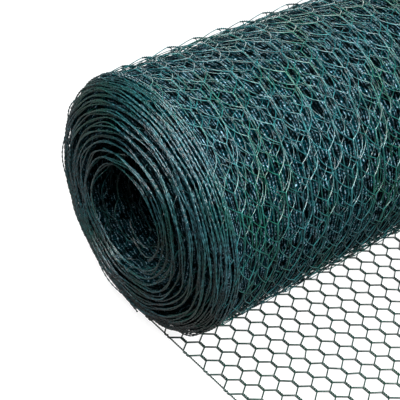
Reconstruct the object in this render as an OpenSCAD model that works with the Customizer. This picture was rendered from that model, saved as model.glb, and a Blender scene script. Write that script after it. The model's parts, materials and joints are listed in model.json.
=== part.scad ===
// Roll of hexagonal wire netting, green PVC-coated, lying on its side.
// The sheet's outer end lies flat on the floor and runs out from under the roll.
// Millimetres. +X runs along the roll, -Y is the side the loose end runs out to, +Z is up.
// The origin is on the floor, in the middle of the whole part's footprint.

/* [Roll] */
// Width of the netting, which is the length of the roll
roll_width = 500; // [300:50:1000]
// Outside diameter of the wound roll
roll_d = 210; // [180:1:260]
// Diameter of the round bar that passes through the open middle
bore_d = 76; // [40:1:100]
// Turns of netting between the bore and the outside
turns = 22; // [12:1:30]
// How far the innermost turn stands out past the outermost one
dome = 13; // [0:1:40]
// How full the end is: 1 is a plain cone, and more bulges out towards the rim
dome_power = 2.5; // [1:0.1:4]
// How far the outermost turn stands out past the loose end's near edge
rim_out = 2; // [0:0.5:8]
// Depth of the groove between two neighbouring turns, seen on the ends
turn_relief = 1.2; // [0.4:0.1:2]

/* [Loose end] */
// Width of one cell, from twisted side to twisted side
cell_w = 16; // [13:1:40]
// Length after which the pattern repeats, as a multiple of the cell's width
cell_ratio = 1.566; // [1.3:0.002:1.8]
// Half length of a twisted side, as a share of half the repeat
twist_share = 0.31; // [0.2:0.01:0.4]
// Half repeats from the end under the roll to the free end, a multiple of three
half_rows = 21; // [15:3:30]
// How far the sheet lies flat behind the line on which the roll rests
tuck = 26.7; // [12:0.1:32]
// Diameter of one coated wire
wire_d = 1; // [0.7:0.1:1.4]

/* [Hidden] */
$fn = 128;
netting_green = "#1d6656";
roll_r = roll_d / 2;
bore_r = bore_d / 2;
turn_pitch = (roll_r - bore_r) / turns;
// A twisted side is two wires wide, and it sets how thick the sheet is
twist_w = 2 * wire_d;
sheet_t = 2 * wire_d;
// A whole number of cells fits between the two edge wires
columns = round(roll_width / cell_w);
half_cell = (roll_width - twist_w) / columns / 2;
half_row = half_cell * cell_ratio;
slope = (1 - 2 * twist_share) * half_row / half_cell;
wire_rise = wire_d / 2 * sqrt(1 + slope * slope);
strip_rows = half_rows / 3;
loose_len = half_rows * half_row - tuck;
// Places in the part's frame, with the box around the part centred on the origin
near_reach = telescoped(turn_r(0.5)) - rim_out;
far_reach = max(roll_width, roll_width - rim_out + telescoped(turn_r(turns - 0.5)));
near_edge_x = -(near_reach + far_reach) / 2;
axis_y = (loose_len - roll_r) / 2;
axis_z = sheet_t + roll_r;

// How far the edge of the sheet stands out at radius r: most at the bore, not at all outside
function telescoped(r) = -dome * (1 - pow((r - bore_r) / (roll_r - bore_r), dome_power));

// Radius at a place counted in turns from the bore
function turn_r(count) = bore_r + count * turn_pitch;

// One end of the roll as points [radius, place along the axis], from the bore outwards.
// Each turn is a flat ridge, and a groove lies on each side of it.
function end_points(edge, relief) = [
    for (i = [0 : turns - 1])
        let (ridge = edge + telescoped(turn_r(i + 0.5)))
            each [
                [turn_r(i), edge + telescoped(turn_r(i)) + relief],
                [turn_r(i + 0.25), ridge],
                [turn_r(i + 0.75), ridge]
            ],
    [roll_r, edge + relief]
];

function reversed(list) = [for (i = [len(list) - 1 : -1 : 0]) list[i]];

// The wound roll as one turned solid, its axis along +X from the near end
module roll() {
    near_end = end_points(0, turn_relief);
    far_end = end_points(roll_width, -turn_relief);
    color(netting_green)
        translate([near_edge_x - rim_out, axis_y, axis_z])
            rotate([0, 90, 0])
                rotate_extrude()
                    polygon(concat(near_end, reversed(far_end)));
}

// Height of a cell's opening above its middle, at the distance x from the middle
function opening_y(x) = (1 - twist_share) * half_row - slope * x - wire_rise;

// One six-sided opening, or the half of it that lies beside an edge wire
module opening(column) {
    side = half_cell - twist_w / 2;
    left = column == 0 ? twist_w / 2 : -side;
    right = column == 2 * columns ? -twist_w / 2 : side;
    tip = column == 0 ? left : column == 2 * columns ? right : 0;
    polygon([
        [left, -opening_y(abs(left))],
        [tip, -opening_y(abs(tip))],
        [right, -opening_y(abs(right))],
        [right, opening_y(abs(right))],
        [tip, opening_y(abs(tip))],
        [left, opening_y(abs(left))]
    ]);
}

// A third of the loose end: a flat sheet with its six-sided openings cut out.
// Thirds meet half way along the twisted sides.
module netting_strip(third) {
    first_row = third * strip_rows;
    last_row = first_row + strip_rows;
    color(netting_green)
        translate([near_edge_x + twist_w / 2, axis_y + tuck, 0])
            linear_extrude(sheet_t)
                difference() {
                    translate([-twist_w / 2, -last_row * half_row])
                        square([roll_width, strip_rows * half_row]);
                    for (row = [first_row : last_row], column = [row % 2 : 2 : 2 * columns])
                        translate([column * half_cell, -row * half_row])
                            opening(column);
                }
}

// The third under the roll
module loose_end_inner() {
    netting_strip(0);
}

// The third in front of the roll
module loose_end_middle() {
    netting_strip(1);
}

// The third with the cut free end
module loose_end_outer() {
    netting_strip(2);
}

roll();
loose_end_inner();
loose_end_middle();
loose_end_outer();
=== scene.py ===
# %% [markdown]
# # A roll of chicken wire
# The object is one sheet of hexagonal wire netting, coated in dark green PVC and wound into a roll.
# Its outer end lies flat on the floor and runs out from under the roll.
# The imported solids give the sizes: a turned roll with a bore, and three thirds of a flat loose end.
# This lesson winds the real wires in their place, one long zigzag wire at a time.

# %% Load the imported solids
import json
import math
import bpy
import numpy as np
from mathutils import Matrix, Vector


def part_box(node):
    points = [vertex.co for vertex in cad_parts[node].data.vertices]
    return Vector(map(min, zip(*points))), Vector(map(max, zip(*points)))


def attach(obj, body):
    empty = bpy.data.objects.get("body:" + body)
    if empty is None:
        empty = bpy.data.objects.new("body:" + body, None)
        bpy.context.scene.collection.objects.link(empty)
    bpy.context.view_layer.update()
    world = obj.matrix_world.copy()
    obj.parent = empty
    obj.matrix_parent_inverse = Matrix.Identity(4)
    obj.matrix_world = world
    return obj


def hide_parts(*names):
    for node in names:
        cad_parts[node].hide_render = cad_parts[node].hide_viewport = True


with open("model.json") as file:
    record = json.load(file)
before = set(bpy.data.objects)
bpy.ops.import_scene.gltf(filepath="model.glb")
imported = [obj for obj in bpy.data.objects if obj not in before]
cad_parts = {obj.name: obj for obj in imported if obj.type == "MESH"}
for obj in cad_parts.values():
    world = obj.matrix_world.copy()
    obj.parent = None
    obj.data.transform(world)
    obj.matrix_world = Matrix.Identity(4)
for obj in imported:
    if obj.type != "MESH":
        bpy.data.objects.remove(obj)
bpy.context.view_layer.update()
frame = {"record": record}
MM = 0.001

# %% [markdown]
# ## Sizes
# Everything is measured from the solids, so the wires land where the solids are.
# The sheet's near edge is the near edge of the loose end.
# The roll's own box gives the axis and the outside radius, and the bore's radius is in the record.
# The rim of the roll's near end lies 2 mm in front of the loose end's edge.

# %% Measure the roll and the loose end
RIM_SET_OUT = 2 * MM

roll_low, roll_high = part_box("roll")
inner_low, inner_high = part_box("loose_end_inner")
outer_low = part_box("loose_end_outer")[0]
axis_y = (roll_low.y + roll_high.y) / 2
axis_z = (roll_low.z + roll_high.z) / 2
roll_r = (roll_high.z - roll_low.z) / 2
bore_r = frame["record"]["mounts"][0]["dims"]["r_mm"] * MM
near_x = inner_low.x
sheet_w = inner_high.x - inner_low.x
sheet_t = inner_high.z - inner_low.z
back_y = inner_high.y
free_y = outer_low.y
rim_x = near_x - RIM_SET_OUT
dome = rim_x - roll_low.x
print("roll radius %.1f mm, bore radius %.1f mm" % (roll_r / MM, bore_r / MM))
print("sheet %.0f mm wide, loose for %.0f mm" % (sheet_w / MM, (axis_y - free_y) / MM))

# %% [markdown]
# ## How hexagonal netting is made
# Every wire runs the whole length of the sheet as a zigzag.
# In one row it is twisted together with its left neighbour, in the next row with its right one.
# The twisted stretches are two sides of each six-sided cell.
# The slanting single stretches are the other four.
# One could model a cell and repeat it, but the wires would be cut at every cell.
# Following each wire from end to end gives the real twists, and it is also fewer points.

# %% Draw the zigzag wires of a flat sheet
random = np.random.default_rng(7)


def row_stations(first, last, twist_steps, slope_steps, twist_half):
    """Places along a wire, counted in rows: evenly spaced through each twist, then along each slope."""
    twist = np.linspace(-twist_half, twist_half, twist_steps + 1)[:-1]
    slope = np.linspace(twist_half, 1 - twist_half, slope_steps + 1)[:-1]
    one_row = np.concatenate([twist, slope])
    stations = np.arange(first, last)[:, None] + one_row[None, :]
    return np.append(stations.ravel(), last - twist_half)


def netting(columns, half_cell, half_row, stations, twist_half, wire_d, full_turns, parity,
            wander, sag, lift):
    """Points (across, along, height) of every wire of a flat sheet, as an array of wires by stations.

    Wire j lies at column j in the rows where column plus row has the twisted parity, and at
    column j + 1 in the others. A twist reaches twist_half of a row to both sides. Within it the
    wire circles the column's middle at half a wire's diameter. Along a slope it goes from the one
    column to the other as the slope's share to the power sag, so that a power above one gives
    hanging arcs. Every twist starts lift above the sheet and ends lift below it, and the slope
    brings the wire up again. wander is how far each twist has been pushed out of place, as
    columns by rows by (across, along, height).
    """
    wire = np.arange(2 * columns)[:, None]
    row = np.floor(stations + twist_half).astype(int)[None, :]
    part = stations[None, :] - row
    here = np.where((wire + row) % 2 == parity, wire, wire + 1)
    there = np.where((wire + row) % 2 == parity, wire + 1, wire)
    side = np.where(here == wire, 1.0, -1.0)
    in_twist = np.clip((part + twist_half) / (2 * twist_half), 0, 1)
    on_slope = np.clip((part - twist_half) / (1 - 2 * twist_half), 0, 1)
    eased = on_slope ** sag
    angle = 2 * math.pi * full_turns * in_twist
    pushed_here = wander[here, row % wander.shape[1]]
    pushed_there = wander[there, (row + 1) % wander.shape[1]]
    pushed = pushed_here + (pushed_there - pushed_here) * eased[..., None]
    start = here * half_cell + side * wire_d / 2 * np.cos(angle)
    end = there * half_cell - side * wire_d / 2
    across = start + (end - start) * eased
    height = side * wire_d / 2 * np.sin(angle) + lift * (1 - 2 * in_twist + 2 * on_slope)
    along = np.broadcast_to(stations[None, :] * half_row, across.shape)
    return np.stack([across, along, height], axis=-1) + pushed


# %% [markdown]
# ## From lines to round wires
# A ring of points stands around every point of a path, square to it.
# Quads join ring to ring, and one face closes each end of each wire.
# Bevelled curves would look alike, but they carry no painted shading for each point.
# Whole arrays are handed to the mesh at once, because a roll has many thousand rings.

# %% Turn paths into closed tubes
def unit(vectors):
    """Vectors divided by their own lengths."""
    return vectors / np.linalg.norm(vectors, axis=-1, keepdims=True)


def wire_rings(path, outward, radius, sides):
    """Ring points: path + radius * (cos * up + sin * side), with up and side square to the path."""
    forward = unit(np.gradient(path, axis=1))
    sideways = unit(np.cross(forward, outward))
    upward = np.cross(sideways, forward)
    turn = (np.arange(sides) + 0.5) * 2 * math.pi / sides
    spokes = (np.cos(turn)[:, None] * upward[..., None, :]
              + np.sin(turn)[:, None] * sideways[..., None, :])
    return path[..., None, :] + radius * spokes


def tube_faces(wires, rings, sides):
    """Quads from ring to ring, and a cap at each end, as arrays of point numbers."""
    number = np.arange(wires * rings * sides).reshape(wires, rings, sides)
    after = np.roll(number, -1, axis=2)
    quads = np.stack([number[:, :-1], after[:, :-1], after[:, 1:], number[:, 1:]], axis=-1)
    caps = np.concatenate([number[:, 0, ::-1], number[:, -1]])
    return quads.reshape(-1, 4), caps


def wire_piece(name, path, outward, radius, sides, painted_shading):
    """One piece made of many closed wires, with each point's painted shading kept as an attribute."""
    wires, rings = path.shape[:2]
    points = wire_rings(path, outward, radius, sides).reshape(-1, 3)
    quads, caps = tube_faces(wires, rings, sides)
    corners = np.concatenate([quads.ravel(), caps.ravel()])
    starts = np.concatenate([np.arange(len(quads)) * 4,
                             len(quads) * 4 + np.arange(len(caps)) * sides])
    mesh = bpy.data.meshes.new(name)
    mesh.vertices.add(len(points))
    mesh.vertices.foreach_set("co", points.astype(np.float32).ravel())
    mesh.loops.add(len(corners))
    mesh.loops.foreach_set("vertex_index", corners.astype(np.int32))
    mesh.polygons.add(len(starts))
    mesh.polygons.foreach_set("loop_start", starts.astype(np.int32))
    mesh.update(calc_edges=True)
    smooth = np.arange(len(starts)) < len(quads)
    mesh.polygons.foreach_set("use_smooth", smooth)
    # The painted shading is a painted shade or highlight that the coat's colour is multiplied by.
    shade = mesh.attributes.new("painted_shading", "FLOAT", "POINT")
    shade.data.foreach_set("value", np.repeat(painted_shading.ravel(), sides).astype(np.float32))
    piece = bpy.data.objects.new(name, mesh)
    bpy.context.scene.collection.objects.link(piece)
    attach(piece, "root")
    print("%s: %d wires, %d triangles" % (name, wires, 2 * len(quads) + len(caps) * (sides - 2)))
    return piece


# %% [markdown]
# ## Green PVC
# The wire is drawn steel, galvanised and run through a bath of soft PVC.
# The coat is smooth but not polished, so each wire shows a narrow soft glint along its upper side.
# Its colour is a deep bluish green, a little lighter where the coat is thin.
# One could paint each wire, but clouds in the material do it for all wires at once.

# %% Make the PVC coats
PVC_IOR = 1.53
COAT_ROUGHNESS = 0.22
LEAFY_PATCH = 45 * MM
STROKE_PITCH = 3.2 * MM
LIT_PATCH = 8 * MM
GLINT_SIZE = 1.6 * MM


def to_linear(hex_colour):
    """An sRGB hex colour as linear RGBA."""
    srgb = np.array([int(hex_colour[i:i + 2], 16) for i in (1, 3, 5)]) / 255
    linear = np.where(srgb <= 0.04045, srgb / 12.92, ((srgb + 0.055) / 1.055) ** 2.4)
    return (*linear, 1.0)


def add_node(material, kind, inputs=(), **settings):
    """A node in a material or a world. Its inputs are values or the outputs of other nodes."""
    node = material.node_tree.nodes.new(kind)
    for key, value in settings.items():
        setattr(node, key, value)
    for socket, value in dict(inputs).items():
        if isinstance(value, bpy.types.NodeSocket):
            material.node_tree.links.new(value, node.inputs[socket])
        else:
            node.inputs[socket].default_value = value
    return node


def new_material(name):
    """A material whose nodes are still to be made."""
    material = bpy.data.materials.new(name)
    material.use_nodes = True
    material.node_tree.nodes.clear()
    return material


def noise_share(material, place, size, detail, seen, given):
    """Noise with clouds of that size, whose values between the two seen become the two given."""
    noise = add_node(material, "ShaderNodeTexNoise", {
        "Vector": place, "Scale": 1 / size, "Detail": detail})
    share = add_node(material, "ShaderNodeMapRange", {
        "Value": noise.outputs["Fac"], "From Min": seen[0], "From Max": seen[1],
        "To Min": given[0], "To Max": given[1]})
    return share.outputs["Result"]


def blend(material, share, low_at, low_colour, high_at, high_colour):
    """A colour that goes from low_colour to high_colour while the share goes from low_at to high_at."""
    ramp = add_node(material, "ShaderNodeValToRGB", {"Fac": share})
    low, high = ramp.color_ramp.elements
    low.position = low_at
    low.color = to_linear(low_colour)
    high.position = high_at
    high.color = to_linear(high_colour)
    return ramp.outputs["Color"]


def pvc_coat(name, deep, pale, leafy, cloud_size, roughness, gloss):
    """Soft PVC on wire: clouds of that size go from deep to pale, and larger patches turn leafy.

    The colour is multiplied by each point's painted shading, so that wires further in are darker: painted
    shade, with a painted highlight where a wire lies high in its twist.
    """
    material = new_material(name)
    place = add_node(material, "ShaderNodeTexCoord").outputs["Object"]
    cloud = add_node(material, "ShaderNodeTexNoise", {
        "Vector": place, "Scale": 1 / cloud_size, "Detail": 3.0})
    clouded = blend(material, cloud.outputs["Fac"], 0.35, deep, 0.68, pale)
    share = noise_share(material, place, LEAFY_PATCH, 2.0, seen=(0.45, 0.70), given=(0.0, 0.7))
    tinted = add_node(material, "ShaderNodeMix", {
        "Factor": share, "A": clouded, "B": to_linear(leafy)}, data_type="RGBA")
    # Painted shade and highlight: the colour times each point's painted shading.
    painted_shading = add_node(material, "ShaderNodeAttribute", attribute_name="painted_shading")
    shaded = add_node(material, "ShaderNodeVectorMath", {
        0: tinted.outputs["Result"], "Scale": painted_shading.outputs["Fac"]}, operation="SCALE")
    coat = add_node(material, "ShaderNodeBsdfPrincipled", {
        "Base Color": shaded.outputs["Vector"], "Roughness": roughness, "IOR": PVC_IOR,
        "Coat Weight": gloss, "Coat Roughness": COAT_ROUGHNESS})
    add_node(material, "ShaderNodeOutputMaterial", {"Surface": coat.outputs["BSDF"]})
    return material


def packed_look():
    """Painted shade between packed wires: near black, with wavy broken strokes as painted glints that stand
    for wires.

    The wave node draws 20 / (2 pi) bands to one unit of its scale. The strokes are thicker and
    further apart than wires, because finer ones would melt into an even grey.
    """
    material = new_material("packed_wire_shade")
    place = add_node(material, "ShaderNodeTexCoord").outputs["UV"]
    drawn_out = add_node(material, "ShaderNodeMapping", {"Vector": place, "Scale": (1.0, 0.5, 1.0)})
    strokes = add_node(material, "ShaderNodeTexWave", {
        "Vector": drawn_out.outputs["Vector"], "Scale": 2 * math.pi / 20 / STROKE_PITCH,
        "Distortion": 6.0, "Detail": 1.0, "Detail Scale": 1.5})
    # Painted shade in near black, and painted glints in the pale strokes.
    drawn = blend(material, strokes.outputs["Fac"], 0.76, "#021a1f", 0.96, "#485c66")
    # Painted light in patches and painted glints in small dots, which brighten and darken the strokes.
    lit = noise_share(material, place, LIT_PATCH, 1.0, seen=(0.38, 0.66), given=(0.1, 1.6))
    glint = noise_share(material, place, GLINT_SIZE, 1.0, seen=(0.45, 0.66), given=(0.15, 2.4))
    share = add_node(material, "ShaderNodeMath", {0: lit, 1: glint}, operation="MULTIPLY")
    shaded = add_node(material, "ShaderNodeVectorMath", {
        0: drawn, "Scale": share.outputs["Value"]}, operation="SCALE")
    coat = add_node(material, "ShaderNodeBsdfPrincipled", {
        "Base Color": shaded.outputs["Vector"], "Roughness": 0.8, "Specular IOR Level": 0.0})
    add_node(material, "ShaderNodeOutputMaterial", {"Surface": coat.outputs["BSDF"]})
    return material


# On the roll the coat shows as bluish green wires with narrow glints on their upper sides.
roll_coat = pvc_coat("green_pvc_on_roll", "#092d32", "#225b5f", "#084632", 7 * MM, 0.20, 0.3)
# On the edges it is shinier, with a darker deep colour as painted shade and small pale clouds as painted
# glints of the twisted strands, so each turn shows as a bright line beside a dark one.
edge_coat = pvc_coat("green_pvc_on_edges", "#08222a", "#32636b", "#0a4633", 3 * MM, 0.22, 1.0)
# On the loose end a darker copy of the coat, painted shade of wires seen against the bright floor, gives
# thin, nearly black green lines on the white floor, without a glint.
loose_coat = pvc_coat("green_pvc_on_loose_end", "#071f1b", "#11362f", "#0c3020", 9 * MM, 0.36, 0.0)
# Between the turns there is only painted shade, with a few broken painted glints that stand for deeper
# wires.
packed_painted_shade = packed_look()
print("coats:", [coat.name for coat in (roll_coat, edge_coat, loose_coat, packed_painted_shade)])

# %% [markdown]
# ## Winding the sheet
# The sheet leaves the floor under the roll, goes up its back, over the top and down the front.
# From there it goes on inwards, turn by turn.
# The outer turns lie tight, pulled into each other's cells, and the inner ones have more air.
# Each turn further in stands out further at the near end, as on a roll pushed at its middle.
# The outer turns are set back there too, so the roll's shoulder is round.
# Every second turn lies a quarter of a cell aside, so its wires cross the cells above them.
# A bend modifier would make circles instead of a spiral, so every point is placed by its angle.
# Arc length gives the angle by a table of the spiral's length, which is quick for many points.

# %% Wind flat points onto the spiral
TURNS = 22
TIGHTNESS = 2.0
WIRE_D = 0.8 * MM
DOME_POWER = 2.5
TABLE_STEPS = 8000
RIPPLE_WAVES = 10
first_r = roll_r + sheet_t / 2
last_r = bore_r + WIRE_D


def way_out(turn):
    """The share of the way out from the bore to the outside after that many turns in."""
    return 1 - (np.clip(turn, 0, TURNS) / TURNS) ** TIGHTNESS


table_angle = np.linspace(0, 2 * math.pi * TURNS, TABLE_STEPS)
table_r = last_r + way_out(table_angle / (2 * math.pi)) * (first_r - last_r)
table_step = (table_r[1:] + table_r[:-1]) / 2 * np.diff(table_angle)
table_len = np.concatenate([[0.0], np.cumsum(table_step)])
sheet_len = table_len[-1]


def ripple(seed, along, across, size, reach_along, reach_across):
    """Smooth unevenness: a sum of sine waves of about those lengths, with size as root mean square."""
    waves = np.random.default_rng(seed)
    total = np.zeros(np.broadcast(along, across).shape)
    for _ in range(RIPPLE_WAVES):
        rate_along = waves.normal(0, 2 * math.pi / reach_along)
        rate_across = waves.normal(0, 2 * math.pi / reach_across)
        phase = waves.uniform(0, 2 * math.pi)
        total = total + np.sin(rate_along * along + rate_across * across + phase)
    return size * math.sqrt(2 / RIPPLE_WAVES) * total


def roll_place(angle, q, height, across):
    """Points of the roll, from the angle, the share q of the way out, height and place across.

    The radius goes from the bore to the outside with q. The near end stands out by the dome's
    depth times one minus q to the power 2.5.
    """
    radius = last_r + q * (first_r - last_r) + height
    x = rim_x + across - dome * (1 - q ** DOME_POWER)
    y = axis_y + radius * np.sin(angle)
    z = axis_z - radius * np.cos(angle)
    return np.stack([x, y, z], axis=-1)


# %% Set the outer turns back, and add what makes netting uneven
# The fan lists turns in from the outside and how far each of them is set back.
FAN_TURNS = [0.0, 0.12, 0.35, 1.0, 2.0, 3.0, 4.5, 7.0, 10.0]
FAN_SHIFT = np.array([0.0, 8.0, 10.5, 10.0, 8.5, 7.0, 4.5, 2.0, 0.0]) * MM
FAN_REACH = 45 * MM


def set_back(turn, across):
    """How far a turn is set back at the near end, fading to nothing within the first cells."""
    return np.interp(turn, FAN_TURNS, FAN_SHIFT) * np.clip(1 - across / FAN_REACH, 0, 1)


# Angles are in radians from where the sheet leaves the floor.
FREE_AFTER = 3.0
HELD_OUTSIDE = 0.6
SLACK_START = 1.2
SLACK_END = 1.5
SLACK_FROM = 25 * MM
SLACK_OVER = 50 * MM
STAND_OFF = 1.0 * MM
EDGE_REACH = 60 * MM
TURN_ASIDE = 3.1 * MM
ASIDE_PHASE = 0.3 * math.pi


def slack_height(angle, across):
    """How far every second column of the outermost turn stands off the turn below it.

    The slack grows and fades over SLACK_START and SLACK_END radians, and begins behind the edge.
    """
    slack = np.clip(angle / SLACK_START, 0, 1) * np.clip((2 * math.pi - angle) / SLACK_END, 0, 1)
    slack = slack * np.clip((across - SLACK_FROM) / SLACK_OVER, 0, 1)
    return STAND_OFF * slack * (0.5 + 0.5 * np.cos(math.pi * across / roll_half_cell))


def wind(flat):
    """Points, outward directions and angles of a sheet wound from the outside in.

    The netting is tight where it leaves the floor and free after FREE_AFTER radians. The outermost
    turn is slack over the back and the top. The outer turns are set back at the near end, and away
    from the edges every second turn lies aside. No wire's middle comes nearer to the floor than
    half the sheet's thickness.
    """
    across, along, height = flat[..., 0], flat[..., 1], flat[..., 2]
    angle = np.interp(along, table_len, table_angle)
    q = way_out(angle / (2 * math.pi))
    loose = np.clip(angle / FREE_AFTER, 0, 1) * (1 - HELD_OUTSIDE * q ** 2)
    height = height + slack_height(angle, across)
    height = height + loose * ripple(3, along, across, size=1.0 * MM, reach_along=0.16, reach_across=0.45)
    inside = np.clip(np.minimum(across, sheet_w - across) / EDGE_REACH, 0, 1)
    across = across + set_back(angle / (2 * math.pi), across)
    across = across + inside * TURN_ASIDE * np.cos(angle / 2 + ASIDE_PHASE)
    across = across + inside * ripple(5, along, 0 * across, size=1.5 * MM, reach_along=1.1, reach_across=9.0)
    across = across + loose * ripple(4, along, across, size=1.3 * MM, reach_along=0.20, reach_across=1.5)
    points = roll_place(angle, q, height, across)
    points[..., 2] = np.maximum(points[..., 2], sheet_t / 2)
    outward = np.stack([np.zeros_like(angle), np.sin(angle), -np.cos(angle)], axis=-1)
    return points, outward, angle


ROLL_COLUMNS = 20
ROLL_CELL_RATIO = 2.73
ROLL_TWIST_HALF = 0.25
roll_half_cell = (sheet_w - sheet_t) / ROLL_COLUMNS / 2
roll_half_row = roll_half_cell * ROLL_CELL_RATIO
roll_rows = int(sheet_len / roll_half_row)
print("wound length %.2f m in %d rows" % (sheet_len, roll_rows))

# %% [markdown]
# ## The wires of the roll
# The outer six turns, the turns at the bore and the first cells of all turns can be seen.
# Their wires are made in full, with round twists on the outside and plainer ones further in.

# %% Make the wound wires, finest on the outside
SEEN_TURNS = 6
BORE_TURN = 18
WIRES_AT_AN_END = 4
OUTER_WIRE_D = 0.92 * MM
DEEPER_WIRE_D = 0.7 * MM
ROLL_SAG = 2.3
ROLL_LIFT = 1.0 * MM
# Painted shade: each turn further in is darker, and a wire is darker where it lies low in the netting and
# lighter, as a painted highlight, where it lies high.
SHADED_TURNS = [0, 2, 4, 7, 11, TURNS]
TURN_SHADING = [1.0, 0.95, 0.9, 0.75, 0.7, 0.6]
SHADING_PER_MM = 0.35
DARKEST = 0.35
LIGHTEST = 1.5
PUSH_MM = np.array([0.7, 0.7, 0.3])
push = random.normal(0, 1, (2 * ROLL_COLUMNS + 1, roll_rows + 2, 3)) * PUSH_MM * MM
ALL_WIRES = np.arange(2 * ROLL_COLUMNS)
END_WIRES = np.concatenate([ALL_WIRES[:WIRES_AT_AN_END], ALL_WIRES[-WIRES_AT_AN_END:]])


def wound_wires(name, first, last, wire_d, twist_steps, slope_steps, sides, full_turns, wires=ALL_WIRES):
    """The stretch of the wound sheet between two rows, of all wires or of some.

    The painted shading goes down from turn to turn inwards and up with the height above the sheet's middle:
    painted shade on deeper and lower wires, painted highlight on higher ones.
    """
    stations = row_stations(first, last, twist_steps, slope_steps, ROLL_TWIST_HALF)
    flat = netting(ROLL_COLUMNS, roll_half_cell, roll_half_row, stations, ROLL_TWIST_HALF, wire_d,
                   full_turns, parity=0, wander=push, sag=ROLL_SAG, lift=ROLL_LIFT)[wires]
    points, outward, angle = wind(flat)
    # Painted shade by depth in the roll and in the netting, painted highlight where a wire lies high.
    painted_shading = np.interp(angle / (2 * math.pi), SHADED_TURNS, TURN_SHADING)
    painted_shading = painted_shading * np.clip(1 + SHADING_PER_MM * flat[..., 2] / MM, DARKEST, LIGHTEST)
    piece = wire_piece(name, points, outward, wire_d / 2, sides, painted_shading)
    piece.data.materials.append(roll_coat)
    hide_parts("roll")


def row_of(turn):
    """The row of cells at which that many turns have been wound."""
    return int(np.interp(2 * math.pi * turn, table_angle, table_len) / roll_half_row)


wound_wires("outer_turns_a", 0, row_of(1), OUTER_WIRE_D,
            twist_steps=12, slope_steps=7, sides=4, full_turns=3)
wound_wires("outer_turns_b", row_of(1), row_of(2), WIRE_D,
            twist_steps=12, slope_steps=7, sides=4, full_turns=3)
wound_wires("middle_turns", row_of(2), row_of(4), WIRE_D,
            twist_steps=9, slope_steps=6, sides=3, full_turns=2)
wound_wires("deeper_turns", row_of(4), row_of(SEEN_TURNS), DEEPER_WIRE_D,
            twist_steps=6, slope_steps=5, sides=3, full_turns=2)
wound_wires("inner_turns_at_ends", row_of(SEEN_TURNS), row_of(BORE_TURN), WIRE_D,
            twist_steps=2, slope_steps=3, sides=3, full_turns=0, wires=END_WIRES)
wound_wires("turns_at_bore", row_of(BORE_TURN), roll_rows, WIRE_D,
            twist_steps=4, slope_steps=4, sides=3, full_turns=0)

# %% [markdown]
# ## The packed turns
# Between the outer six turns and the bore the wires lie so close that no light comes through.
# Modelling them all would be another half million faces that nobody sees.
# A turned block fills that place, a little short of both ends and set back with the turns.
# Its dark surface is painted shade, and its drawn broken strokes are painted glints that stand for the
# glints on deeper wires.

# %% Fill the middle with the packed turns
END_STEPS = 12
SIDE_STEPS = 40
ROUND_STEPS = 120
BLOCK_RECESS = 4 * MM
BLOCK_FLARE = 30 * MM
BLOCK_INNER_TURN = 18.5
BLOCK_OUTER_TURN = 5.8
BLOCK_RIM_TURN = 2.5


def block_outline(q_in, q_out, q_rim):
    """The block's outline as q and place across: a rectangle that flares to q_rim at both ends."""
    span = np.linspace(q_in, q_rim, END_STEPS)
    near = np.full(END_STEPS, BLOCK_RECESS)
    far = np.full(END_STEPS, sheet_w - BLOCK_RECESS)
    side = np.linspace(BLOCK_RECESS, sheet_w - BLOCK_RECESS, SIDE_STEPS)[1:-1]
    to_end = np.minimum(side, sheet_w - side) - BLOCK_RECESS
    flare = np.clip(1 - to_end / BLOCK_FLARE, 0, 1)
    outside = q_out + (q_rim - q_out) * flare
    inside = np.full(len(side), q_in)
    q = np.concatenate([span, outside, span[::-1], inside])
    return q, np.concatenate([near, side, far, side[::-1]])


def stroke_places(q, across, grid_angle, step):
    """Where the corners of each face lie on the drawing: length along the outline, and way round."""
    lengths = np.hypot((np.roll(q, -1) - q) * (first_r - last_r), np.roll(across, -1) - across)
    next_profile = np.cumsum(lengths)
    profile = next_profile - lengths
    ahead = grid_angle + step
    corner_u = np.stack([profile, profile, next_profile, next_profile], axis=-1)
    corner_v = roll_r * np.stack([grid_angle, ahead, ahead, grid_angle], axis=-1)
    return np.stack([np.broadcast_to(corner_u, corner_v.shape), corner_v], axis=-1)


def packed_turns(q, across):
    """A closed ring around the axis: the outline carried round, and set back as the turns are."""
    angle = np.linspace(0, 2 * math.pi, ROUND_STEPS + 1)[:-1]
    grid_angle, grid_q = np.meshgrid(angle, q, indexing="ij")
    turn = TURNS * (1 - q) ** (1 / TIGHTNESS)
    grid_across = np.broadcast_to(across + set_back(turn, across), grid_angle.shape)
    points = roll_place(grid_angle, grid_q, 0.0, grid_across)
    number = np.arange(grid_angle.size).reshape(grid_angle.shape)
    ahead = np.roll(number, -1, axis=0)
    faces = np.stack([number, ahead, np.roll(ahead, -1, axis=1), np.roll(number, -1, axis=1)], axis=-1)
    mesh = bpy.data.meshes.new("packed_turns")
    mesh.from_pydata(points.reshape(-1, 3).tolist(), [], faces.reshape(-1, 4).tolist())
    mesh.update()
    places = stroke_places(q, across, grid_angle, angle[1])
    mesh.uv_layers.new(name="drawn_strokes")
    mesh.uv_layers[0].uv.foreach_set("vector", places.ravel())
    mesh.materials.append(packed_painted_shade)
    piece = bpy.data.objects.new("packed_turns", mesh)
    bpy.context.scene.collection.objects.link(piece)
    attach(piece, "root")
    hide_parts("roll")
    print("packed_turns: %d faces" % len(mesh.polygons))


block_q, block_across = block_outline(
    way_out(BLOCK_INNER_TURN), way_out(BLOCK_OUTER_TURN), way_out(BLOCK_RIM_TURN))
packed_turns(block_q, block_across)

# %% [markdown]
# ## Edge wires
# Along both edges of the sheet a pair of straight wires is twisted together.
# On the ends of the roll these edge wires are the fine spiral that shows the turns.
# After five turns a second pair runs beside the first, since the ends show more lines than turns.

# %% Wind the edge wires
EDGE_WIRE_R = 0.38 * MM
EDGE_PITCH = 10 * MM
EDGE_STATIONS = 4
SECOND_PAIR_TURN = 5.0
FREE_LENGTH = 4.0
LEAST_FREE = 0.15


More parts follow.
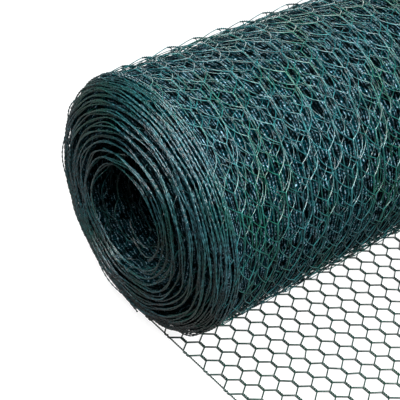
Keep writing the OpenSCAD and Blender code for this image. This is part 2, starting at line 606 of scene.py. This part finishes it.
def edge_wires(name, column, seed, first_turn):
    """A twisted pair along one edge, wound with the sheet from that turn on.

    It wanders a little: least where the sheet starts, and fully after FREE_LENGTH metres.
    """
    start = np.interp(2 * math.pi * first_turn, table_angle, table_len)
    along = np.arange(start, roll_rows * roll_half_row, EDGE_PITCH / EDGE_STATIONS)
    circling = 2 * math.pi * along / EDGE_PITCH + math.pi * np.arange(2)[:, None]
    free = np.clip(along / FREE_LENGTH, LEAST_FREE, 1)
    aside = ripple(seed, along, 0 * circling, size=0.8 * MM, reach_along=0.09, reach_across=0.3)
    lifted = ripple(seed + 1, along, 0 * circling, size=0.75 * MM, reach_along=0.08, reach_across=0.3)
    across = column * roll_half_cell + free * aside + EDGE_WIRE_R * np.cos(circling)
    height = free * lifted + EDGE_WIRE_R * np.sin(circling)
    flat = np.stack([across, np.broadcast_to(along, across.shape), height], axis=-1)
    points, outward, angle = wind(flat)
    piece = wire_piece(name, points, outward, EDGE_WIRE_R, sides=3, painted_shading=np.ones(angle.shape))
    piece.data.materials.append(edge_coat)


edge_wires("near_edge_wires", 0, seed=20, first_turn=0.0)
edge_wires("near_edge_second_wires", 0, seed=40, first_turn=SECOND_PAIR_TURN)
edge_wires("far_edge_wires", 2 * ROLL_COLUMNS, seed=30, first_turn=0.0)
edge_wires("far_edge_second_wires", 2 * ROLL_COLUMNS, seed=50, first_turn=SECOND_PAIR_TURN)

# %% [markdown]
# ## The loose end
# The flat stretch in front of the roll has the same make with smaller cells.
# The function that draws the roll's netting draws it too, without sagging wires.
# It lies on the floor, so its twists touch the ground.

# %% Lay the loose end on the floor
LOOSE_COLUMNS = 31
LOOSE_ROWS = 21
LOOSE_TWIST_HALF = 0.31
LOOSE_WIRE_D = 1.45 * MM
LOOSE_PUSH = 0.15 * MM
loose_half_cell = (sheet_w - sheet_t) / LOOSE_COLUMNS / 2
loose_half_row = (back_y - free_y) / LOOSE_ROWS


def lay_flat(flat):
    """Points on the floor: across is +X from the near edge, along is -Y from the end under the roll."""
    x = near_x + sheet_t / 2 + flat[..., 0]
    y = back_y - flat[..., 1]
    z = LOOSE_WIRE_D + flat[..., 2]
    points = np.stack([x, y, z], axis=-1)
    return points, np.broadcast_to(np.array([0.0, 0.0, 1.0]), points.shape)


loose_push = random.normal(0, LOOSE_PUSH, (2 * LOOSE_COLUMNS + 1, LOOSE_ROWS + 2, 3))
loose_push = loose_push * np.array([1, 1, 0])
loose_stations = row_stations(0, LOOSE_ROWS + 1, twist_steps=8, slope_steps=3,
                              twist_half=LOOSE_TWIST_HALF)
loose_stations = np.unique(np.clip(loose_stations, 0, LOOSE_ROWS))
loose_flat = netting(LOOSE_COLUMNS, loose_half_cell, loose_half_row, loose_stations, LOOSE_TWIST_HALF,
                     LOOSE_WIRE_D, full_turns=2, parity=1, wander=loose_push, sag=1.0, lift=0.0)
loose_points, loose_up = lay_flat(loose_flat)
loose_wires = wire_piece("loose_end_wires", loose_points, loose_up, LOOSE_WIRE_D / 2, sides=4,
                         painted_shading=np.ones(loose_points.shape[:2]))
loose_wires.data.materials.append(loose_coat)
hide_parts("loose_end_inner", "loose_end_middle", "loose_end_outer")

# %% Lay the loose end's straight edge wires
LOOSE_EDGE_D = 0.75 * MM
LOOSE_EDGE_TWISTS = 3
LOOSE_EDGE_STATIONS = 8
edge_steps = LOOSE_ROWS * LOOSE_EDGE_TWISTS * LOOSE_EDGE_STATIONS
edge_along = np.linspace(0, LOOSE_ROWS * loose_half_row, edge_steps)
edge_column = np.array([0, 0, 2 * LOOSE_COLUMNS, 2 * LOOSE_COLUMNS])[:, None]
edge_circling = 2 * math.pi * LOOSE_EDGE_TWISTS * edge_along / loose_half_row
edge_circling = edge_circling + math.pi * np.array([0, 1, 0, 1])[:, None]
edge_flat = np.stack([
    edge_column * loose_half_cell + LOOSE_EDGE_D / 2 * np.cos(edge_circling),
    np.broadcast_to(edge_along, edge_circling.shape),
    LOOSE_EDGE_D / 2 * np.sin(edge_circling)], axis=-1)
edge_points, edge_up = lay_flat(edge_flat)
loose_edges = wire_piece("loose_end_edge_wires", edge_points, edge_up, LOOSE_EDGE_D / 2, sides=5,
                         painted_shading=np.ones(edge_points.shape[:2]))
loose_edges.data.materials.append(loose_coat)

# %% [markdown]
# ## Floor, light and camera
# The floor is plain white paper and keeps a soft shadow.
# It sends little light back up, so the low side of the roll stays dark.
# The camera stands where the photograph was taken from: in front of the near end and above it,
# looking down at the roll, and turned a little about its line of sight.

# %% Put down the floor
FLOOR_HALF = 6.0
FLOOR_GLOW = 1.15
SEEN_GLOW_SHARE = 0.8
MIRRORED_GLOW_SHARE = 0.25


def white_paper():
    """Paper that the camera sees white with a soft shadow, and that wires mirror faintly.

    To the camera it glows for the most part and is matt for the rest. A mirrored ray finds a part
    of the glow, and any other ray finds dark grey, so that hardly any light comes from below.
    """
    material = new_material("white_paper")
    rays = add_node(material, "ShaderNodeLightPath").outputs
    paper = add_node(material, "ShaderNodeMix", {
        "Factor": rays["Is Camera Ray"], "A": to_linear("#2c2c2c"), "B": to_linear("#e8e8e8")},
        data_type="RGBA")
    matt = add_node(material, "ShaderNodeBsdfDiffuse", {"Color": paper.outputs["Result"]})
    glow = add_node(material, "ShaderNodeEmission", {"Color": (1, 1, 1, 1), "Strength": FLOOR_GLOW})
    mirrored = add_node(material, "ShaderNodeMath", {
        0: rays["Is Glossy Ray"], 1: rays["Is Transmission Ray"]}, operation="MAXIMUM")
    mirrored = add_node(material, "ShaderNodeMath", {
        0: mirrored.outputs["Value"], 1: MIRRORED_GLOW_SHARE}, operation="MULTIPLY")
    share = add_node(material, "ShaderNodeMath", {
        0: rays["Is Camera Ray"], 1: SEEN_GLOW_SHARE, 2: mirrored.outputs["Value"]},
        operation="MULTIPLY_ADD")
    mixed = add_node(material, "ShaderNodeMixShader", {
        "Fac": share.outputs["Value"], 1: matt.outputs["BSDF"], 2: glow.outputs["Emission"]})
    add_node(material, "ShaderNodeOutputMaterial", {"Surface": mixed.outputs["Shader"]})
    return material


def white_floor(half):
    """A large square of paper at height zero."""
    mesh = bpy.data.meshes.new("floor")
    corners = [(-half, -half, 0), (half, -half, 0), (half, half, 0), (-half, half, 0)]
    mesh.from_pydata(corners, [], [(0, 1, 2, 3)])
    mesh.materials.append(white_paper())
    floor = bpy.data.objects.new("floor", mesh)
    bpy.context.scene.collection.objects.link(floor)
    print("floor: %.0f m square" % (2 * half))


white_floor(FLOOR_HALF)

# %% Light the roll softly from above
def placed(right, upward, away, place):
    """A matrix that puts an object at a place, with its X, Y and Z along those directions."""
    turned = np.eye(4)
    turned[:3] = np.stack([right, upward, away, place], axis=-1)
    return Matrix(turned.tolist())


def soft_light(name, place, aim, size, power):
    """A square lamp at a place, turned to face a point."""
    lamp = bpy.data.lights.new(name, "AREA")
    lamp.size = size
    lamp.energy = power
    light = bpy.data.objects.new(name, lamp)
    bpy.context.scene.collection.objects.link(light)
    away = unit(np.array(place) - np.array(aim))
    level = unit(np.cross([0.0, 0.0, 1.0], away))
    light.matrix_world = placed(level, np.cross(away, level), away, place)
    print("%s: %.0f W, %.1f m wide" % (name, power, size))


soft_light("key_light", place=(-0.05, -0.95, 1.22), aim=(-0.05, 0.05, 0.1), size=0.7, power=51.0)
soft_light("top_light", place=(-0.46, 0.06, 0.9), aim=(-0.22, 0.05, 0.2), size=0.4, power=12.0)
soft_light("far_light", place=(0.9, 1.0, 0.4), aim=(0.1, 0.05, 0.1), size=0.8, power=6.0)

# %% Surround it with white that lights it only a little
SKY_LIGHT = 0.05
world = bpy.data.worlds.new("studio")
bpy.context.scene.world = world
world.use_nodes = True
world.node_tree.nodes.clear()
sky_rays = add_node(world, "ShaderNodeLightPath")
sky_soft = add_node(world, "ShaderNodeBackground", {"Color": (1, 1, 1, 1), "Strength": SKY_LIGHT})
sky_white = add_node(world, "ShaderNodeBackground", {"Color": (1, 1, 1, 1), "Strength": 1.0})
sky_mixed = add_node(world, "ShaderNodeMixShader", {
    "Fac": sky_rays.outputs["Is Camera Ray"], 1: sky_soft.outputs["Background"],
    2: sky_white.outputs["Background"]})
add_node(world, "ShaderNodeOutputWorld", {"Surface": sky_mixed.outputs["Shader"]})
print("surroundings: white, with a light of", SKY_LIGHT)

# %% Set up the camera
# These values put the loose end's cells, the roll's outline and its rim where the photograph has them.
CAMERA_PLACE = np.array([near_x - 420.8 * MM, axis_y - 557.6 * MM, 661.1 * MM])
HEADING = math.radians(49.30)
PITCH = math.radians(-37.84)
ROLL_ABOUT_VIEW = math.radians(3.35)
SENSOR_MM = 36.0
LENS_MM = 104.7
forward = np.array([
    math.cos(PITCH) * math.cos(HEADING), math.cos(PITCH) * math.sin(HEADING), math.sin(PITCH)])
level_right = np.array([math.sin(HEADING), -math.cos(HEADING), 0.0])
level_up = np.cross(level_right, forward)
right = math.cos(ROLL_ABOUT_VIEW) * level_right + math.sin(ROLL_ABOUT_VIEW) * level_up
up = np.cross(right, forward)
lens = bpy.data.cameras.new("camera")
lens.sensor_width = SENSOR_MM
lens.lens = LENS_MM
camera = bpy.data.objects.new("camera", lens)
bpy.context.scene.collection.objects.link(camera)
camera.matrix_world = placed(right, up, -forward, CAMERA_PLACE)
bpy.context.scene.camera = camera
bpy.context.scene.view_settings.view_transform = "Standard"
print("camera: %.1f mm lens, %.2f m above the floor" % (LENS_MM, CAMERA_PLACE[2]))
